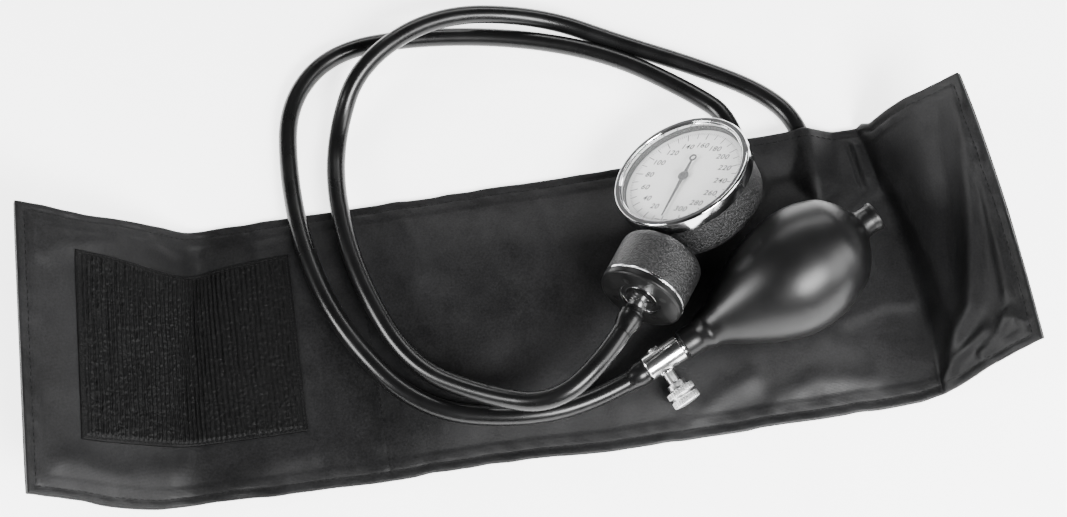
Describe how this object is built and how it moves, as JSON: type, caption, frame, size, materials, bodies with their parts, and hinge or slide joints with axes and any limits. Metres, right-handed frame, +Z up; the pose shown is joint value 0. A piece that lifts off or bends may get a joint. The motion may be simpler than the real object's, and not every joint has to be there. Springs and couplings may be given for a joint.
{
  "type": "aneroid blood pressure monitor",
  "caption": "Upper arm cuff with hook and loop closure, two hoses, a dial pressure gauge with a diaphragm drum, and a squeeze bulb with a screw release valve.",
  "frame": {"origin": "on the surface it lies on, under the middle of the cuff's outline", "axes": "+X along the cuff, towards the end without the hook patch; +Y towards the edge where the hoses enter the cuff; +Z up"},
  "size_m": [0.44, 0.2301, 0.067],
  "materials": {
    "cuff_cloth": "fine black nylon weave",
    "hook_tape": "ribbed black hook tape",
    "loop_tape": "brushed black loop tape",
    "bladder_rubber": "smooth matt rubber",
    "hose_rubber": "smooth black rubber, medium gloss",
    "bulb_rubber": "satin black moulded rubber",
    "wrinkle_paint": "black wrinkle paint",
    "cap_black": "smooth black enamel",
    "chrome": "bright chrome plate",
    "glass": "clear flat glass",
    "gasket_rubber": "soft black gasket",
    "dial_enamel": "white enamel with printed scale",
    "pointer_paint": "dark pointer lacquer",
    "brass": "machined brass",
    "steel": "turned steel",
    "capsule_bronze": "corrugated phosphor bronze"
  },
  "bodies": {
    "cuff_and_housings": {"cuff_inner_panel": "cuff_cloth", "loop_patch": "loop_tape", "cuff_outer_panel": "cuff_cloth", "hook_patch": "hook_tape", "bladder": "bladder_rubber", "dial_housing": "wrinkle_paint", "bezel": "chrome", "lens": "glass", "lens_gasket": "gasket_rubber", "dial_plate": "dial_enamel", "movement_front_plate": "brass", "movement_rear_plate": "brass", "movement_pillars": "brass", "movement_screws": "steel", "hairspring": "steel", "hairspring_stud": "brass", "drum_housing": "wrinkle_paint", "rod_guide": "brass", "capsule_stack": "capsule_bronze", "capsule_base": "brass", "drum_cap": "cap_black", "cap_screws": "chrome", "drum_ring": "chrome", "nipple_washer": "chrome", "nipple_nut": "chrome", "hose_nipple": "chrome", "nipple_collar": "cap_black", "bulb_shell": "bulb_rubber", "intake_valve_body": "chrome", "intake_retainer": "brass", "valve_body": "chrome", "bulb_connector": "chrome", "ball_cage": "brass", "gauge_hose": "hose_rubber", "bulb_hose": "hose_rubber"},
    "sector": {"sector_gear": "brass", "sector_arbor": "steel", "rocker_arm": "brass"},
    "pointer": {"pointer": "pointer_paint", "pointer_hub": "pointer_paint", "pinion_arbor": "steel", "hairspring_collet": "brass"},
    "push_rod": {"push_rod": "steel"},
    "needle": {"needle_tip": "steel"},
    "release_screw": {"release_screw": "chrome", "release_knob": "chrome"},
    "outlet_ball": {"outlet_ball": "steel"},
    "intake_ball": {"intake_ball": "steel"}
  },
  "joints": [
    {"name": "sector_turn", "type": "hinge", "parent": "cuff_and_housings", "child": "sector", "pos_m": [0.06491, 0.0286, 0.04189], "axis": [-0.3829, 0.4119, 0.8269], "range_deg": [0, 34]},
    {"name": "pointer_turn", "type": "hinge", "parent": "cuff_and_housings", "child": "pointer", "pos_m": [0.08, 0.0414, 0.0425], "axis": [-0.3829, 0.4119, 0.8269], "range_deg": [-340, 0]},
    {"name": "push_rod_slide", "type": "slide", "parent": "cuff_and_housings", "child": "push_rod", "axis": [0.5782, 0.805, -0.1333], "range_m": [0, 0.00351]},
    {"name": "needle_slide", "type": "slide", "parent": "cuff_and_housings", "child": "needle", "axis": [0.4166, -0.8932, -0.1689], "range_m": [0, 0.0014]},
    {"name": "release_turn", "type": "hinge", "parent": "needle", "child": "release_screw", "pos_m": [0.05558, -0.03708, 0.0206], "axis": [0.4166, -0.8932, -0.1689], "range_deg": [0, 720]},
    {"name": "outlet_ball_lift", "type": "slide", "parent": "cuff_and_housings", "child": "outlet_ball", "axis": [-0.8976, -0.3747, -0.2324], "range_m": [0, 0.0012]},
    {"name": "intake_ball_lift", "type": "slide", "parent": "cuff_and_housings", "child": "intake_ball", "axis": [-0.8976, -0.3747, -0.2324], "range_m": [0, 0.0012]}
  ],
  "couplings": [
    {"joint": "sector_turn", "follows": "push_rod_slide", "rad_per_m": 169.14},
    {"joint": "pointer_turn", "follows": "push_rod_slide", "rad_per_m": -1691.4},
    {"joint": "release_turn", "follows": "needle_slide", "rad_per_m": 8976}
  ]
}
